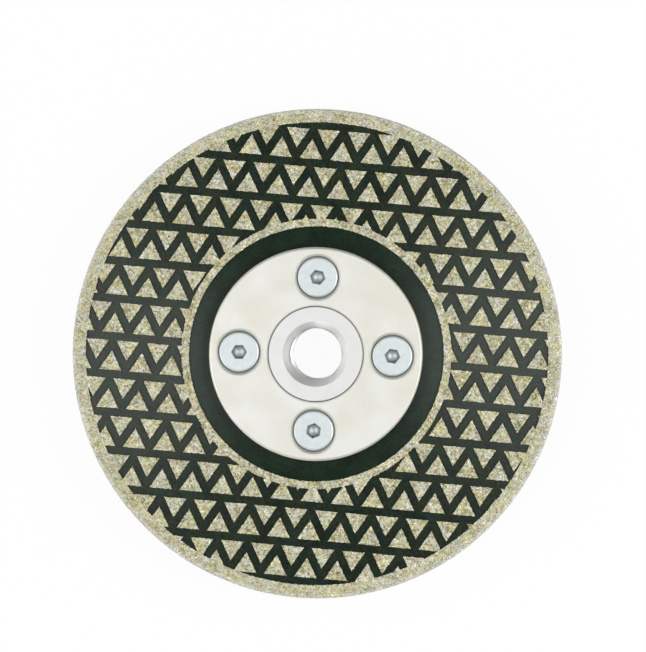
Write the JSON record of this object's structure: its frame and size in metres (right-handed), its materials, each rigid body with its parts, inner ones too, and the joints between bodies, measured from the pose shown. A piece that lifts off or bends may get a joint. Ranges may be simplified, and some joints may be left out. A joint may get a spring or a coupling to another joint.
{
  "type": "diamond grinding wheel",
  "caption": "Flat steel grinding disc with plated diamond triangles and rim, clamped by a countersunk plate to a threaded hub for an angle grinder spindle.",
  "frame": {"origin": "wheel axis on the hub's rear end face, which seats on the spindle shoulder", "axes": "+Z along the wheel axis from the hub to the front face, +Y from the axis to the top screw, +X to the right screw"},
  "size_m": [0.115, 0.115, 0.017],
  "materials": {
    "painted_steel": "thin dark green-black paint over a circularly ground steel disc",
    "diamond_grit": "coarse diamond grit held in nickel plating, beige with olive and white grains",
    "satin_steel": "pale satin plated steel",
    "turned_steel": "fine turned and plated steel",
    "zinc_steel": "bright bluish zinc plating"
  },
  "bodies": {
    "root": {"steel_core": "painted_steel", "threaded_hub": "turned_steel", "front_plate": "satin_steel", "clamp_screw_right": "zinc_steel", "clamp_screw_top": "zinc_steel", "clamp_screw_left": "zinc_steel", "clamp_screw_bottom": "zinc_steel", "rim_grit": "diamond_grit", "front_grit_ring": "diamond_grit", "rear_grit_ring": "diamond_grit", "front_grit_row_01": "diamond_grit", "front_grit_row_02": "diamond_grit", "front_grit_row_03": "diamond_grit", "front_grit_row_04": "diamond_grit", "front_grit_row_05": "diamond_grit", "front_grit_row_06": "diamond_grit", "front_grit_row_07": "diamond_grit", "front_grit_row_08": "diamond_grit", "front_grit_row_09": "diamond_grit", "front_grit_row_10": "diamond_grit", "front_grit_row_11": "diamond_grit", "front_grit_row_12": "diamond_grit", "rear_grit_row_01": "diamond_grit", "rear_grit_row_02": "diamond_grit", "rear_grit_row_03": "diamond_grit", "rear_grit_row_04": "diamond_grit", "rear_grit_row_05": "diamond_grit", "rear_grit_row_06": "diamond_grit", "rear_grit_row_07": "diamond_grit", "rear_grit_row_08": "diamond_grit", "rear_grit_row_09": "diamond_grit", "rear_grit_row_10": "diamond_grit", "rear_grit_row_11": "diamond_grit", "rear_grit_row_12": "diamond_grit"}
  },
  "joints": []
}
